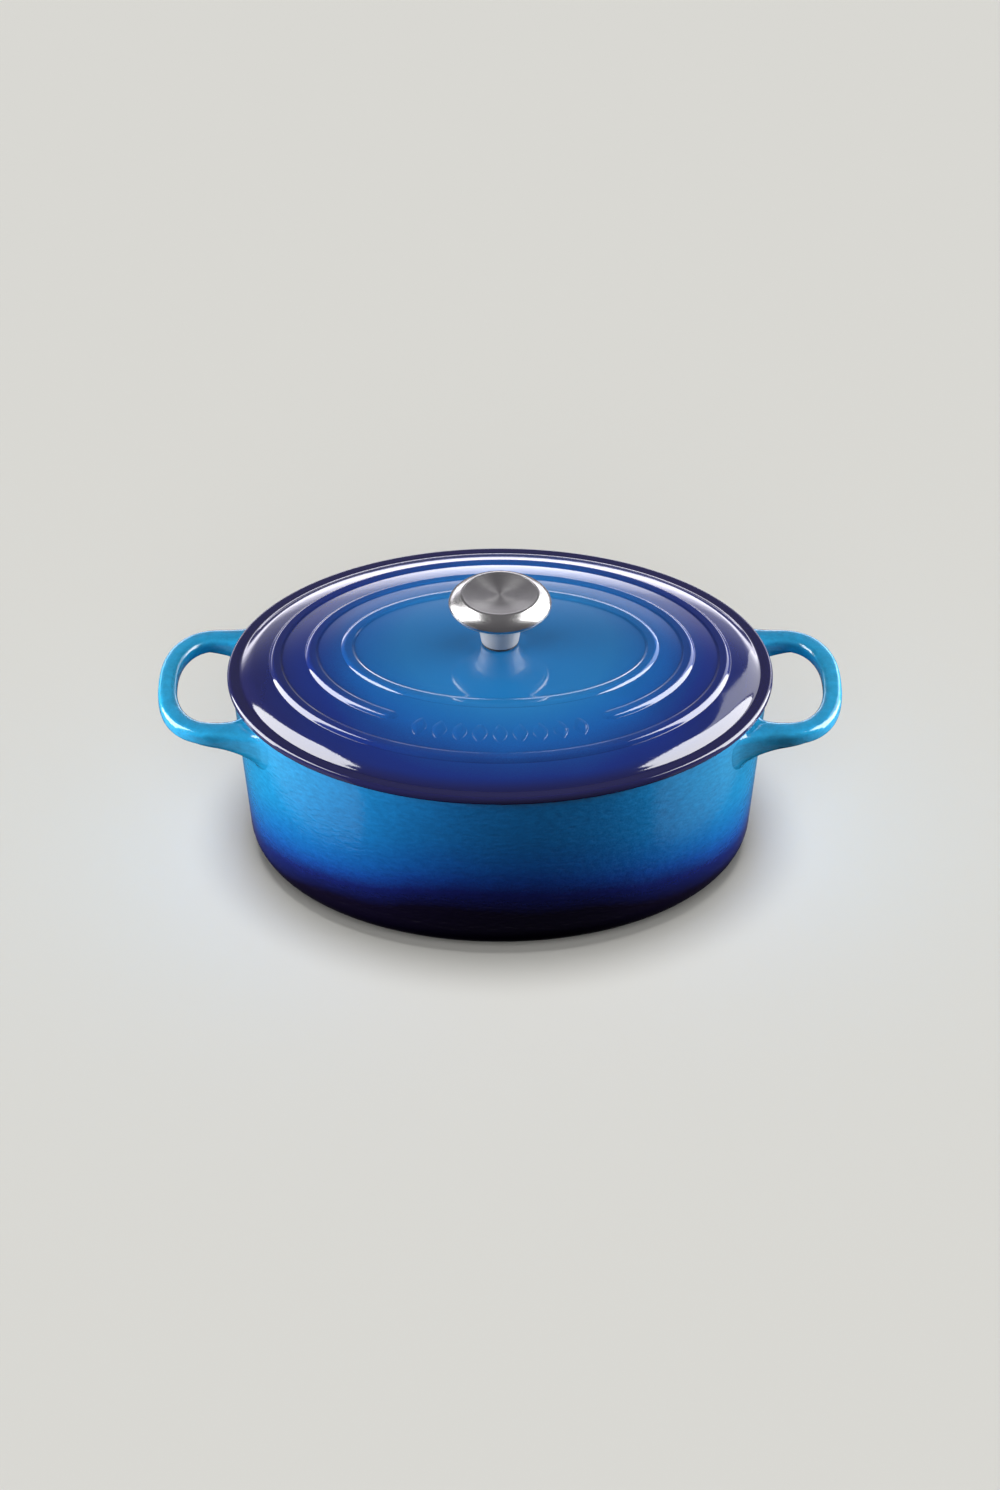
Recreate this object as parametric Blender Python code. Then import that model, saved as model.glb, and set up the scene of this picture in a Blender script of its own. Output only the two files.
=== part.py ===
"""Oval enamelled cast-iron dutch oven: a pot with two loop handles, and a domed lid that lifts straight off.

Metres, +Z up. The origin is the middle of the base, X runs from handle to handle and -Y is the front.
Every oval of the pot and the lid is the lid's edge drawn in by the same distance on both half-axes, its inset.
"""

import math

import bmesh
import bpy
from mathutils import Vector

# Driving dimensions
HALF_LENGTH = 0.149  # half-axes of the lid's edge
HALF_WIDTH = 0.1195
RIM_Z = 0.109  # top of the pot's rim, and the whole depth of the pot
GAP = 0.0003  # left between pieces that touch
SEGMENTS = 64  # round each oval
TURNED_SEGMENTS = 32  # round each turned piece

# Pot
POT_INSET = 0.0024  # outer wall at the rim, inside the lid's edge
WALL = 0.0036
WALL_SLOPE = 0.085  # how fast the wall draws in on its way down
BASE_FILLET = 0.019
FLOOR_THICKNESS = 0.0045
FLOOR_FILLET = 0.020
FOOT_WIDTH = 0.014  # the flat ring that the pot stands on
FOOT_RECESS = 0.0008  # how far the middle of the base stays off the table
RIM_EDGE = 0.0011  # radius of the rim's two edges

# Handles
HANDLE_Z = 0.1013  # middle of the grip's thickness
HANDLE_REACH = 0.1822  # middle of the grip, from the pot's middle
GRIP_HALF_WIDTH = 0.0048
LEG_HALF_WIDTH = 0.0061
HALF_THICKNESS = 0.0042
LEG_Y = 0.0440
LEG_START_X = 0.1310  # inside the wall
LEG_END_X = 0.1545  # where the leg starts to curve into the grip
LOOP_POWER = 2.35  # of the superellipse that the grip follows in plan
SECTION_POWER = 4.0  # 2 is an ellipse, and more is squarer
ROOT_LENGTH = 0.016  # how far out of the wall the roots' flare reaches
FLARE_INWARD = 0.0085
FLARE_OUTWARD = 0.0045
FLARE_UP = 0.0012
FLARE_DOWN = 0.0030
LEG_DROP = 0.24  # how fast the legs' underside falls towards the wall
DROP_START_X = 0.1630
LEG_STEPS = 6
GRIP_STEPS = 16
SECTION_STEPS = 12

# Lid
FLANGE_Z = 0.1134  # top of the flat flange round the lid's edge
EDGE_RADIUS = 0.0019
LID_THICKNESS = 0.0037
SKIRT_DEPTH = 0.0048  # below the rim, inside the pot
SKIRT_CLEARANCE = 0.0012
SKIRT_WIDTH = 0.0027
# The dome's top: inset, height and slope, joined by smooth cubic pieces
DOME = [
    (0.0055, FLANGE_Z, 0.00),
    (0.0085, 0.1147, 0.62),
    (0.0140, 0.1173, 0.34),
    (0.0260, 0.1206, 0.25),
    (0.0460, 0.1250, 0.18),
    (0.0660, 0.1282, 0.06),
    (0.0760, 0.1287, 0.04),
]
RING_INSETS = (0.0234, 0.0431, 0.0627)  # outer edge of each raised ring
RING_WIDTH = 0.0058
RING_RISE = 0.0010  # of its top over the dome at the ring's middle
RING_BREAK = 1  # the ring that is broken at the front
BREAK_HALF_ANGLE = math.radians(33)
BREAK_ENDS = math.radians(4)
BOSS_Z = 0.1312  # flat seat for the knob
BOSS_FOOT_RADIUS = 0.0128
BOSS_SEAT_RADIUS = 0.0114
PANEL_RISE = 0.0024  # of the middle panel, from the inmost ring to the seat's foot
HOLE_RADIUS = 0.0035
UNDERSIDE_BOSS_Z = 0.1234
UNDERSIDE_BOSS_RADIUS = 0.0105

# Knob and its fixing
SHEET = 0.0012  # thickness of the knob's two pressed shells
GASKET_THICKNESS = 0.0008
KNOB_RADIUS = 0.028
KNOB_TOP_Z = 0.1632
FOOT_RADIUS = 0.0103
SCREW_RADIUS = 0.00295
SCREW_HEAD_RADIUS = 0.0059
SCREW_HEAD_HEIGHT = 0.0033
SCREW_LENGTH = 0.028
RECESS_WIDTH = 0.0013
WASHER_THICKNESS = 0.0012
WASHER_RADIUS = 0.0075
LOCK_WASHER_RADIUS = 0.0055
LOCK_WASHER_THICKNESS = 0.0013


def clear_scene():
    for obj in list(bpy.data.objects):
        bpy.data.objects.remove(obj, do_unlink=True)


def enamel(name, colour, roughness=0.12, metallic=0.0):
    """A Principled material of one colour."""
    material = bpy.data.materials.new(name)
    material.use_nodes = True
    shader = material.node_tree.nodes["Principled BSDF"]
    shader.inputs["Base Color"].default_value = (*colour, 1.0)
    shader.inputs["Roughness"].default_value = roughness
    shader.inputs["Metallic"].default_value = metallic
    return material


def add_object(name, bm, material):
    """Makes the bmesh an object, with its faces outwards and its round parts shaded smooth."""
    bmesh.ops.recalc_face_normals(bm, faces=bm.faces)
    if bm.calc_volume(signed=True) < 0:
        bmesh.ops.reverse_faces(bm, faces=bm.faces)
    mesh = bpy.data.meshes.new(name)
    bm.to_mesh(mesh)
    bm.free()
    mesh.shade_smooth()
    mesh.set_sharp_from_angle(angle=math.radians(35))
    obj = bpy.data.objects.new(name, mesh)
    bpy.context.scene.collection.objects.link(obj)
    obj.data.materials.append(material)
    return obj


def hide_cutter(obj):
    obj.hide_render = True
    obj.display_type = "WIRE"


def add_boolean(obj, other, operation):
    modifier = obj.modifiers.new(f"{operation.lower()}_{other.name}", "BOOLEAN")
    modifier.operation = operation
    modifier.solver = "EXACT"
    modifier.object = other


def add_ring(bm, half_x, half_y, height):
    """An oval of vertices. Height is a number, or a function of the angle."""
    ring = []
    for k in range(SEGMENTS):
        angle = math.tau * k / SEGMENTS
        z = height(angle) if callable(height) else height
        ring.append(bm.verts.new((half_x * math.cos(angle), half_y * math.sin(angle), z)))
    return ring


def skin(bm, rings, around=False):
    """Four-sided faces from each ring to the next. The ends are joined too, or else closed by a face each."""
    after = rings[1:] + rings[:1] if around else rings[1:]
    for lower, upper in zip(rings, after):
        for a, b, c, d in zip(lower, lower[1:] + lower[:1], upper[1:] + upper[:1], upper):
            bm.faces.new((a, b, c, d))
    if not around:
        bm.faces.new(rings[0])
        bm.faces.new(rings[-1])


def inset_ring(bm, inset, height):
    return add_ring(bm, HALF_LENGTH - inset, HALF_WIDTH - inset, height)


def round_ring(bm, radius, height):
    return add_ring(bm, radius, radius, height)


def arc(centre, radius, start, end, steps):
    """Points on an arc in the plane of inset and height, from one angle in degrees to another."""
    angles = [math.radians(start + (end - start) * k / steps) for k in range(steps + 1)]
    return [(centre[0] + radius * math.cos(a), centre[1] + radius * math.sin(a)) for a in angles]


def wall_inset(z):
    """Inset of the pot's outer wall at a height."""
    return POT_INSET + WALL_SLOPE * (RIM_Z - z)


def pot_outside():
    """(inset, height) of the pot's outside, from the foot up to the rim."""
    foot = wall_inset(BASE_FILLET) + BASE_FILLET
    bottom = [(foot + FOOT_WIDTH + FOOT_RECESS, FOOT_RECESS), (foot + FOOT_WIDTH, 0.0)]
    fillet = arc((foot, BASE_FILLET), BASE_FILLET, -90, -180, 6)
    edge = arc((wall_inset(RIM_Z) + RIM_EDGE, RIM_Z - RIM_EDGE), RIM_EDGE, 180, 90, 2)
    return bottom + fillet + [(wall_inset(0.065), 0.065)] + edge


def pot_inside():
    """(inset, height) of the cavity, from the floor up to just over the rim."""
    fillet_top = FLOOR_THICKNESS + FLOOR_FILLET
    floor = wall_inset(fillet_top) + WALL + FLOOR_FILLET
    fillet = arc((floor, fillet_top), FLOOR_FILLET, -90, -180, 6)
    lip = wall_inset(RIM_Z) + WALL
    edge = arc((lip - RIM_EDGE, RIM_Z - RIM_EDGE), RIM_EDGE, 0, 90, 2)
    return fillet + [(wall_inset(0.065) + WALL, 0.065)] + edge + [(lip - RIM_EDGE, RIM_Z + 0.004)]


def make_stack(name, profile, material):
    """A closed solid whose level sections are the ovals of a profile of (inset, height)."""
    bm = bmesh.new()
    skin(bm, [inset_ring(bm, inset, z) for inset, z in profile])
    return add_object(name, bm, material)


def loop_line():
    """The handle's middle line in plan: a straight leg, half a superellipse and the other leg."""
    leg = [(LEG_START_X + (LEG_END_X - LEG_START_X) * k / LEG_STEPS, -LEG_Y) for k in range(LEG_STEPS)]
    grip = []
    for k in range(GRIP_STEPS + 1):
        angle = math.pi * (k / GRIP_STEPS - 0.5)
        along = math.cos(angle) ** (2 / LOOP_POWER) if abs(angle) < math.pi / 2 else 0.0
        across = math.copysign(abs(math.sin(angle)) ** (2 / LOOP_POWER), angle)
        grip.append((LEG_END_X + (HANDLE_REACH - LEG_END_X) * along, LEG_Y * across))
    back = [(x, -y) for x, y in reversed(leg)]
    return [Vector((x, y, HANDLE_Z)) for x, y in leg + grip + back]


def wall_gap(point):
    """Roughly how far a point in plan is outside the pot's wall at the handles' height."""
    inset = wall_inset(HANDLE_Z)
    reach = math.hypot(point.x / (HALF_LENGTH - inset), point.y / (HALF_WIDTH - inset))
    return (reach - 1) * math.hypot(point.x, point.y) / reach


def handle_section(middle, along):
    """A superellipse square to the middle line, whose four half-sizes grow apart towards the wall."""
    outward = Vector((along.y, -along.x, 0)).normalized()
    near = min(1.0, max(0.0, 1 - wall_gap(middle) / ROOT_LENGTH))
    flare = 1 - math.sqrt(1 - near * near)
    half = GRIP_HALF_WIDTH + (LEG_HALF_WIDTH - GRIP_HALF_WIDTH) * min(1.0, abs(middle.y) / LEG_Y) ** 2
    drop = LEG_DROP * max(0.0, DROP_START_X - middle.x)
    sizes = {
        "out": half + FLARE_OUTWARD * flare,
        "in": half + FLARE_INWARD * flare,
        "up": HALF_THICKNESS + FLARE_UP * flare,
        "down": HALF_THICKNESS + drop + FLARE_DOWN * flare,
    }
    points = []
    for k in range(SECTION_STEPS):
        angle = math.tau * k / SECTION_STEPS
        u = math.copysign(abs(math.cos(angle)) ** (2 / SECTION_POWER), math.cos(angle))
        v = math.copysign(abs(math.sin(angle)) ** (2 / SECTION_POWER), math.sin(angle))
        u *= sizes["out"] if u > 0 else sizes["in"]
        v *= sizes["up"] if v > 0 else sizes["down"]
        points.append(middle + outward * u + Vector((0, 0, v)))
    return points


def make_handle(name, side, material):
    """A loop handle, run on into the wall at both ends so that it can be joined to the pot."""
    bm = bmesh.new()
    line = loop_line()
    rings = []
    for before, middle, after in zip(line[:1] + line, line, line[1:] + line[-1:]):
        shape = handle_section(middle, after - before)
        rings.append([bm.verts.new((side * p.x, p.y, p.z)) for p in shape])
    skin(bm, rings)
    return add_object(name, bm, material)


def make_pot(material):
    """The pot's casting: outside, plus two handles, less the cavity."""
    pot = make_stack("pot", pot_outside(), material)
    for name, side in (("handle_left", -1), ("handle_right", 1)):
        handle = make_handle(name, side, material)
        hide_cutter(handle)
        add_boolean(pot, handle, "UNION")
    cavity = make_stack("cavity", pot_inside(), material)
    hide_cutter(cavity)
    add_boolean(pot, cavity, "DIFFERENCE")
    return pot


def dome_height(inset):
    """Height of the lid's plain top at an inset, by cubic Hermite pieces."""
    if inset <= DOME[0][0]:
        return DOME[0][1]
    for (x0, z0, s0), (x1, z1, s1) in zip(DOME, DOME[1:]):
        if inset <= x1:
            w = x1 - x0
            t = (inset - x0) / w
            rise = (3 * t * t - 2 * t**3) * (z1 - z0)
            return z0 + rise + w * (t * (1 - t) ** 2 * s0 - t * t * (1 - t) * s1)
    return DOME[-1][1]


def ring_share(number, angle):
    """1 where a raised ring is whole, and 0 in the break at the front."""
    if number != RING_BREAK:
        return 1.0
    from_front = abs((angle + math.pi / 2 + math.pi) % math.tau - math.pi)
    return min(1.0, max(0.0, (from_front - BREAK_HALF_ANGLE) / BREAK_ENDS))


def raised_ring(bm, number):
    """The four ovals of one raised ring with a level top: its outer foot, two top edges and inner foot."""
    outer = RING_INSETS[number]
    inner = outer + RING_WIDTH
    top = dome_height((outer + inner) / 2) + RING_RISE
    made = []
    for inset, foot in ((outer - 0.0006, True), (outer + 0.0008, False), (inner - 0.0008, False), (inner + 0.0006, True)):
        plain = dome_height(inset)
        if foot:
            made.append(inset_ring(bm, inset, plain))
        else:
            made.append(inset_ring(bm, inset, lambda a, p=plain: p + (top - p) * ring_share(number, a)))
    return made


def lid_top(bm):
    """Ovals of the lid's top, from the knob's hole out to the edge."""
    rings = [round_ring(bm, HOLE_RADIUS, BOSS_Z), round_ring(bm, BOSS_SEAT_RADIUS, BOSS_Z)]
    edge = RING_INSETS[-1] + RING_WIDTH
    for share in (0.0, 0.2, 0.45, 0.72):
        half_x = BOSS_FOOT_RADIUS + (HALF_LENGTH - edge - BOSS_FOOT_RADIUS) * share
        half_y = BOSS_FOOT_RADIUS + (HALF_WIDTH - edge - BOSS_FOOT_RADIUS) * share
        rings.append(add_ring(bm, half_x, half_y, dome_height(edge) + PANEL_RISE * (1 - share * share)))
    rings += reversed(raised_ring(bm, 2))
    rings.append(inset_ring(bm, 0.0550, dome_height(0.0550)))
    rings += reversed(raised_ring(bm, 1))
    rings.append(inset_ring(bm, 0.0350, dome_height(0.0350)))
    rings += reversed(raised_ring(bm, 0))
    for inset in (0.0180, 0.0140, 0.0110, 0.0085, 0.0070, 0.0055):
        rings.append(inset_ring(bm, inset, dome_height(inset)))
    edge = arc((EDGE_RADIUS, FLANGE_Z - EDGE_RADIUS), EDGE_RADIUS, 90, 180, 3)
    return rings + [inset_ring(bm, inset, z) for inset, z in edge]


def lid_bottom(bm):
    """Ovals of the lid's underside, from the edge in to the knob's hole."""
    land = RIM_Z + GAP
    skirt = wall_inset(RIM_Z) + WALL + SKIRT_CLEARANCE
    profile = [
        (0.0006, land),
        (skirt, land),
        (skirt + 0.0005, RIM_Z - SKIRT_DEPTH),
        (skirt + SKIRT_WIDTH, RIM_Z - SKIRT_DEPTH),
        (skirt + SKIRT_WIDTH + 0.0012, land + 0.0010),
    ]
    rings = [inset_ring(bm, inset, z) for inset, z in profile]
    for inset in (0.0155, 0.0220, 0.0340, 0.0460, 0.0600, 0.0750):
        rings.append(inset_ring(bm, inset, dome_height(inset) - LID_THICKNESS))
    plain = DOME[-1][1] - LID_THICKNESS
    rings.append(round_ring(bm, UNDERSIDE_BOSS_RADIUS + 0.0015, plain))
    rings.append(round_ring(bm, UNDERSIDE_BOSS_RADIUS, UNDERSIDE_BOSS_Z))
    rings.append(round_ring(bm, HOLE_RADIUS, UNDERSIDE_BOSS_Z))
    return rings


def make_lid(material):
    bm = bmesh.new()
    skin(bm, lid_top(bm) + lid_bottom(bm), around=True)
    return add_object("lid", bm, material)


def make_turned(name, profile, material, closed=True):
    """A solid turned round Z from a profile of (radius, height). An open profile starts and ends on the axis."""
    bm = bmesh.new()
    points = [bm.verts.new((radius, 0, z)) for radius, z in profile]
    edges = [bm.edges.new(pair) for pair in zip(points, points[1:])]
    if closed:
        edges.append(bm.edges.new((points[-1], points[0])))
    bmesh.ops.spin(
        bm,
        geom=points + edges,
        axis=(0, 0, 1),
        cent=(0, 0, 0),
        angle=math.tau,
        steps=TURNED_SEGMENTS,
        use_merge=True,
    )
    bmesh.ops.remove_doubles(bm, verts=bm.verts, dist=0.00001)
    return add_object(name, bm, material)


def make_tube(name, inner, outer, low, high, material):
    return make_turned(name, [(inner, low), (outer, low), (outer, high), (inner, high)], material)


def knob_foot_z():
    return BOSS_Z + 2 * GAP + GASKET_THICKNESS


def make_knob_cap(material):
    """The pressed top shell: a dished face, a sloping bevel and a lip rolled in below the widest line."""
    top = KNOB_TOP_Z
    outside = [
        (0.0, top - 0.0009),
        (0.0110, top - 0.0007),
        (0.0190, top - 0.0001),
        (0.0204, top),
        (0.0218, top - 0.0004),
        (0.0251, top - 0.0023),
        (0.0273, top - 0.0044),
        (KNOB_RADIUS, top - 0.0064),
        (0.0277, top - 0.0077),
        (0.0270, top - 0.0086),
    ]
    inside = [
        (0.0264, top - 0.0086),
        (0.0266, top - 0.0066),
        (0.0258, top - 0.0050),
        (0.0238, top - 0.0031),
        (0.0200, top - SHEET),
        (0.0, top - 0.0009 - SHEET),
    ]
    return make_turned("knob_cap", outside + inside, material, closed=False)


def make_knob_body(material):
    """The pressed lower shell: the underside's dish, drawn down to a tapered neck with a flat foot."""
    foot = knob_foot_z()
    outside = [
        (HOLE_RADIUS, foot),
        (FOOT_RADIUS - 0.0006, foot),
        (FOOT_RADIUS, foot + 0.0006),
        (0.0122, foot + 0.0125),
        (0.0140, foot + 0.0157),
        (0.0185, foot + 0.0190),
        (0.0259, foot + 0.0218),
    ]
    inside = [
        (0.0259, foot + 0.0231),
        (0.0180, foot + 0.0203),
        (0.0131, foot + 0.0168),
        (0.0110, foot + 0.0125),
        (FOOT_RADIUS - SHEET, foot + SHEET),
        (HOLE_RADIUS, foot + SHEET),
    ]
    return make_turned("knob_body", outside + inside, material)


def make_knob_insert(material):
    """The tapped bush that the screw pulls on, with a flange on the neck's foot."""
    low = knob_foot_z() + SHEET + GAP
    bore = SCREW_RADIUS + GAP
    profile = [
        (bore, low),
        (0.0086, low),
        (0.0086, low + 0.0013),
        (0.0062, low + 0.0013),
        (0.0062, low + 0.0140),
        (bore, low + 0.0140),
    ]
    return make_turned("knob_insert", profile, material)


def make_lock_washer(high, material):
    """A split ring of square wire whose ends stand a little apart."""
    bm = bmesh.new()
    inner = SCREW_RADIUS + GAP
    spring = 0.0004
    rings = []
    steps = 28
    for k in range(steps + 1):
        turn = math.radians(8 + 344 * k / steps)
        low = high - LOCK_WASHER_THICKNESS - spring * (1 - k / steps)
        corners = [
            (inner, low),
            (LOCK_WASHER_RADIUS, low),
            (LOCK_WASHER_RADIUS, low + LOCK_WASHER_THICKNESS - 0.0002),
            (inner, low + LOCK_WASHER_THICKNESS - 0.0002),
        ]
        rings.append([bm.verts.new((r * math.cos(turn), r * math.sin(turn), z)) for r, z in corners])
    skin(bm, rings)
    return add_object("lock_washer", bm, material)


def make_screw(seat, material):
    """A pan-head machine screw, pointing up, with a cross recess in its head."""
    low = seat - SCREW_HEAD_HEIGHT
    profile = [
        (0.0, low),
        (SCREW_HEAD_RADIUS - 0.0022, low),
        (SCREW_HEAD_RADIUS - 0.0008, low + 0.0007),
        (SCREW_HEAD_RADIUS, low + 0.0020),
        (SCREW_HEAD_RADIUS, seat),
        (SCREW_RADIUS, seat),
        (SCREW_RADIUS, seat + SCREW_LENGTH - 0.0008),
        (SCREW_RADIUS - 0.0008, seat + SCREW_LENGTH),
        (0.0, seat + SCREW_LENGTH),
    ]
    screw = make_turned("knob_screw", profile, material, closed=False)
    for name, size_x, size_y in (("recess_x", 0.0062, RECESS_WIDTH), ("recess_y", RECESS_WIDTH, 0.0062)):
        bm = bmesh.new()
        bmesh.ops.create_cube(bm, size=1.0)
        bmesh.ops.scale(bm, vec=(size_x, size_y, 0.0036), verts=bm.verts)
        bmesh.ops.translate(bm, vec=(0, 0, low), verts=bm.verts)
        cutter = add_object(name, bm, material)
        hide_cutter(cutter)
        add_boolean(screw, cutter, "DIFFERENCE")
    return screw


def make_fixing(steel, rubber):
    """Everything that holds the knob, from its gasket down to the screw under the lid."""
    gasket_low = BOSS_Z + GAP
    make_tube("knob_gasket", HOLE_RADIUS, 0.0098, gasket_low, gasket_low + GASKET_THICKNESS, rubber)
    washer_high = UNDERSIDE_BOSS_Z - GAP
    washer_low = washer_high - WASHER_THICKNESS
    make_tube("flat_washer", SCREW_RADIUS + GAP, WASHER_RADIUS, washer_low, washer_high, steel)
    lock_high = washer_low - GAP
    make_lock_washer(lock_high, steel)
    make_screw(lock_high - LOCK_WASHER_THICKNESS - 0.0004 - GAP, steel)


def add_lid_frame():
    """The lid and all that it carries hang on one empty, whose Z is the way the lid lifts."""
    frame = bpy.data.objects.new("lid_lift", None)
    frame.location = (0, 0, RIM_Z)
    bpy.context.scene.collection.objects.link(frame)
    for obj in list(bpy.data.objects):
        if obj.type == "MESH" and not obj.hide_render and obj.name != "pot":
            obj.parent = frame
            obj.matrix_parent_inverse.translation = (0, 0, -RIM_Z)


def main():
    clear_scene()
    pot_blue = enamel("pot_enamel", (0.012, 0.120, 0.420))
    lid_blue = enamel("lid_enamel", (0.014, 0.070, 0.300))
    steel = enamel("stainless", (0.62, 0.61, 0.59), roughness=0.28, metallic=1.0)
    plated = enamel("plated_steel", (0.55, 0.55, 0.55), roughness=0.35, metallic=1.0)
    rubber = enamel("silicone", (0.03, 0.03, 0.035), roughness=0.6)
    make_pot(pot_blue)
    make_lid(lid_blue)
    make_knob_cap(steel)
    make_knob_body(steel)
    make_knob_insert(plated)
    make_fixing(plated, rubber)
    add_lid_frame()


main()
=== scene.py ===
# %% [markdown]
# # An oval enamelled dutch oven, dressed for its picture
#
# The imported model gives every piece its place and size. This script makes the surfaces that the eye reads: a
# glossy glaze that runs from azure to near black, a lid with raised rings, and a turned steel knob. Most cells
# print what they made.

# %% Load the model that everything is fitted to
import math

import bpy
import numpy as np
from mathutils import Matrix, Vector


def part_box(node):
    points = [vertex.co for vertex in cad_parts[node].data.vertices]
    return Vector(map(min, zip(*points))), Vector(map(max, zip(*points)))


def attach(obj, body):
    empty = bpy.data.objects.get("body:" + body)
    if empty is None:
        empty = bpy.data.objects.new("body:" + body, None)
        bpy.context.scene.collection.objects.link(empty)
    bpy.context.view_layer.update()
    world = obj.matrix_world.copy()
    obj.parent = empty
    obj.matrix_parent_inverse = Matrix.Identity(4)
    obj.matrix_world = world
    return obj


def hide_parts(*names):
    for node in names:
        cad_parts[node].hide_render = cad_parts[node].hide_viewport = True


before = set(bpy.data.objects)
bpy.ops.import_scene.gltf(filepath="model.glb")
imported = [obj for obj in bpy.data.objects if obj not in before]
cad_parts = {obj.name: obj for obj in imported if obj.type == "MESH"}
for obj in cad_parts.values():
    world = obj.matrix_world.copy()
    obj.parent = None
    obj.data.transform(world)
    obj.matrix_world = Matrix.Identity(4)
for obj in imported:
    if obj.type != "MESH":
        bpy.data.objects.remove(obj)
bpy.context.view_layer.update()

lid_low, lid_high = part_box("lid")
pot_low, pot_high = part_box("pot")
knob_low, knob_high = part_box("knob_cap")

# %% [markdown]
# ## Camera
#
# A long lens from 2.6 metres keeps the ovals calm. The camera looks down at 36 degrees, straight from the
# front.

# %% Camera
CAMERA_ELEVATION = math.radians(36.09)
CAMERA_DISTANCE = 2.6
AIM_HEIGHT = 0.0617
LENS = 113.65


def make_camera():
    """Looks at the pot's axis: the position is the aim plus the distance along the angle of elevation."""
    data = bpy.data.cameras.new("product_camera")
    data.lens = LENS
    data.sensor_fit = "VERTICAL"
    data.sensor_height = 36.0
    data.clip_end = 50.0
    camera = bpy.data.objects.new("product_camera", data)
    back = CAMERA_DISTANCE * math.cos(CAMERA_ELEVATION)
    up = CAMERA_DISTANCE * math.sin(CAMERA_ELEVATION)
    camera.location = (0.0, -back, AIM_HEIGHT + up)
    camera.rotation_euler = (math.pi / 2 - CAMERA_ELEVATION, 0.0, 0.0)
    bpy.context.scene.collection.objects.link(camera)
    bpy.context.scene.camera = camera
    return camera


camera = make_camera()
bpy.context.scene.view_settings.view_transform = "Standard"
print("camera at", [round(value, 3) for value in camera.location])

# %% [markdown]
# ## From arrays to a mesh
#
# Every new surface below is a grid: a row of points for each step along the shape, and a column for each step
# around it. One function turns such a grid into a closed mesh.

# %% A closed mesh from a grid of points
def grid_faces(rows, columns, wrap_rows):
    """Corner numbers of every four-sided face between neighbouring rows. Columns always wrap round."""
    row = np.arange(rows if wrap_rows else rows - 1)[:, None]
    column = np.arange(columns)[None, :]
    after_row = (row + 1) % rows
    after_column = (column + 1) % columns
    corners = (row * columns + column, row * columns + after_column, after_row * columns + after_column,
               after_row * columns + column)
    return np.stack(np.broadcast_arrays(*corners), axis=-1).reshape(-1, 4)


def mesh_from(name, points, finishes, wrap_rows=False, slots=None, values=None):
    """An object from points of shape (rows, columns, 3). An open grid's two ends are closed by a fan to a pole.

    The pole is the mean of the end row. slots says which finish each row takes, and values gives named numbers
    for every point, which materials read as attributes. Where the signed volume, a sum of corner products, is
    below zero, the faces are turned round.
    """
    rows, columns, _ = points.shape
    vertices = points.reshape(-1, 3)
    quads = grid_faces(rows, columns, wrap_rows)
    face_rows = np.arange(len(quads)) // columns
    fans = np.empty((0, 3), int)
    if not wrap_rows:
        poles = np.stack([points[0].mean(axis=0), points[-1].mean(axis=0)])
        around = np.arange(columns)
        after = (around + 1) % columns
        first = np.stack([np.full(columns, rows * columns), after, around], axis=1)
        base = (rows - 1) * columns
        last = np.stack([np.full(columns, rows * columns + 1), base + around, base + after], axis=1)
        fans = np.concatenate([first, last])
        vertices = np.concatenate([vertices, poles])
    triangles = np.concatenate([quads[:, [0, 1, 2]], quads[:, [0, 2, 3]], fans])
    a, b, c = (vertices[triangles[:, k]] for k in range(3))
    if np.einsum("ij,ij->i", a, np.cross(b, c)).sum() < 0:
        quads, fans = quads[:, ::-1], fans[:, ::-1]
    mesh = bpy.data.meshes.new(name)
    mesh.from_pydata(vertices.tolist(), [], quads.tolist() + fans.tolist())
    for finish in finishes:
        mesh.materials.append(finish)
    if slots is not None:
        ends = np.repeat([slots[0], slots[-1]], columns)[:len(fans)]
        numbers = np.concatenate([np.asarray(slots)[face_rows], ends])
        mesh.polygons.foreach_set("material_index", numbers.astype(np.int32))
    for title, numbers in (values or {}).items():
        numbers = np.broadcast_to(numbers, (rows, columns)).ravel()
        numbers = np.concatenate([numbers, numbers[[0, -1]]]) if not wrap_rows else numbers
        attribute = mesh.attributes.new(title, "FLOAT", "POINT")
        attribute.data.foreach_set("value", numbers.astype(np.float32))
    mesh.shade_smooth()
    made = bpy.data.objects.new(name, mesh)
    bpy.context.scene.collection.objects.link(made)
    print(name, len(vertices), "points", len(quads) * 2 + len(fans), "triangles")
    return made


# %% [markdown]
# Profiles are drawn as short runs of points: straight lines, arcs and smooth curves, joined end to end.

# %% Lines and arcs for profiles
def line(start, end, steps):
    """Points in even steps from start to end, the end left out so that the next run can begin there."""
    share = np.arange(steps)[:, None] / steps
    return np.array(start) * (1 - share) + np.array(end) * share


def arc(centre, radius, start, end, steps):
    """Points on a circle, the centre plus the radius times cosine and sine, between two angles in degrees."""
    angle = np.radians(start + (end - start) * np.arange(steps) / steps)
    return np.stack([centre[0] + radius * np.cos(angle), centre[1] + radius * np.sin(angle)], axis=1)


def smooth(value):
    """Runs from 0 to 1 with no corner: three squares less two cubes of the value, held between 0 and 1."""
    value = np.clip(value, 0.0, 1.0)
    return value * value * (3 - 2 * value)


print("arc ends at", arc((0, 0), 1, 0, 90, 3)[-1].round(3))

# %% [markdown]
# ## Floor and light
#
# The floor is pale and even, and two very wide suns light it alone. Soft boxes at the sides draw the long
# white lines along the shoulder of the lid, and a bright line in the sky behind lights the rings at the back.
# The front is left quiet, so that the wall falls from bright blue at its ends to deep blue in the middle,
# helped by painted shade that the pot's glaze draws on its front and back.

# %% Floor
FLOOR_TINT = (0.694, 0.687, 0.651)
FLOOR_HALF = 8.0
FLOOR_DROP = 0.0003  # keeps the floor just off the foot


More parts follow.
